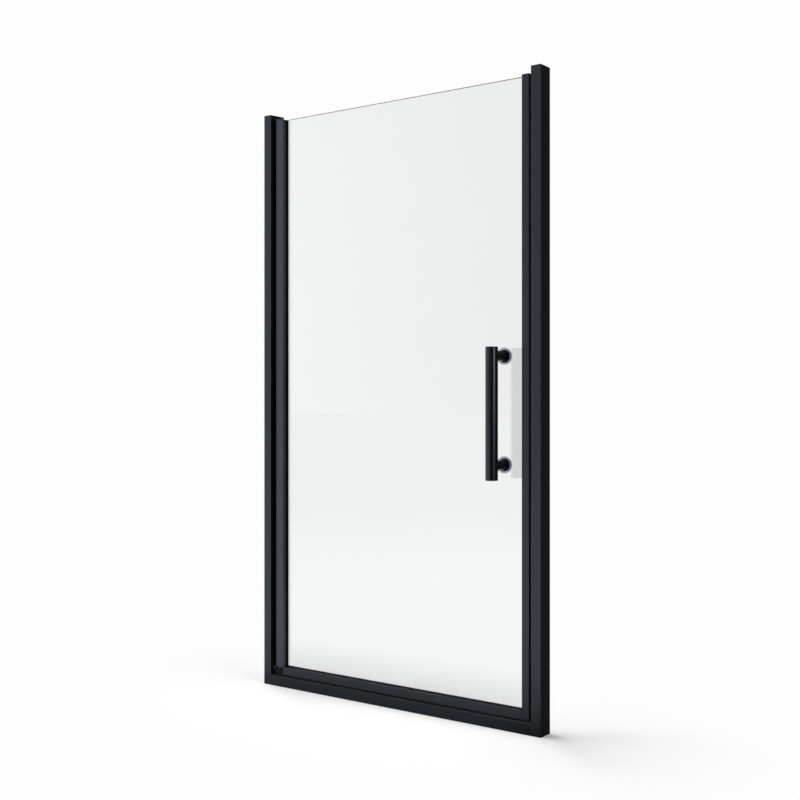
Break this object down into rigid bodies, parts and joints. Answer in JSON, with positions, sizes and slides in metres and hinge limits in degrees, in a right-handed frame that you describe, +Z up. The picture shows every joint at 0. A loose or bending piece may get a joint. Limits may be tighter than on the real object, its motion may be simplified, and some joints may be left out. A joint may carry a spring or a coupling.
{
  "type": "pivot shower door",
  "caption": "Framed pivot shower door: clear glass pane in slim black stiles swings outward on end pivots above a low sill, with an upright tube handle on round necks.",
  "frame": {"origin": "centre of the threshold's underside, on the floor in the middle of the doorway", "axes": "+X along the doorway towards the strike side, -Y towards the outside of the shower, +Z up"},
  "size_m": [1.02, 0.1112, 1.829],
  "materials": {
    "black_aluminium": "satin black powder coat",
    "black_steel": "satin black powder coat",
    "black_plastic": "fine satin moulding",
    "black_rubber": "matt extruded",
    "stainless_steel": "plain",
    "white_nylon": "moulded",
    "clear_plastic": "clear moulded",
    "clear_glass": "clear toughened, polished edges"
  },
  "bodies": {
    "frame": {"hinge_wall_channel": "black_aluminium", "strike_wall_channel": "black_aluminium", "hinge_jamb": "black_aluminium", "strike_jamb": "black_aluminium", "hinge_channel_cap": "black_plastic", "strike_channel_cap": "black_plastic", "jamb_fixing_screws": "stainless_steel", "fixing_screw_covers": "black_plastic", "threshold": "black_aluminium", "threshold_end_cap": "black_plastic", "threshold_bracket": "black_steel", "threshold_bracket_screws": "stainless_steel", "top_pivot_plate": "black_steel", "top_pivot_plate_screws": "stainless_steel", "top_pivot_screw": "black_steel", "bottom_pivot_block": "black_plastic", "bottom_block_screws": "stainless_steel", "bottom_pivot_pin": "stainless_steel", "pivot_height_nut": "stainless_steel", "pivot_thrust_washer": "stainless_steel", "hinge_side_seal": "black_rubber", "frame_magnet_strip": "black_rubber"},
    "door": {"hinge_stile": "black_aluminium", "stile_top_bush": "white_nylon", "stile_bottom_bush": "white_nylon", "strike_stile": "black_aluminium", "strike_stile_top_cap": "black_plastic", "strike_stile_bottom_cap": "black_plastic", "bottom_rail": "black_aluminium", "rail_corner_screws": "stainless_steel", "rail_corner_plate": "black_steel", "corner_plate_screws": "stainless_steel", "door_magnet_strip": "black_rubber", "door_sweep_seal": "black_rubber", "glass_panel": "clear_glass", "hinge_glazing_gasket": "black_rubber", "strike_glazing_gasket": "black_rubber", "bottom_glazing_gasket": "black_rubber", "handle_bar": "black_steel", "handle_bar_caps": "black_steel", "handle_posts": "black_steel", "handle_rosettes": "black_steel", "handle_front_washers": "clear_plastic", "handle_glass_bushes": "white_nylon", "handle_rear_washers": "clear_plastic", "handle_studs": "stainless_steel", "handle_rear_caps": "black_steel"}
  },
  "joints": [
    {"name": "door_swing", "type": "hinge", "parent": "frame", "child": "door", "pos_m": [-0.45365, -0.00725, 0.06], "axis": [0, 0, -1], "range_deg": [0, 90]}
  ]
}
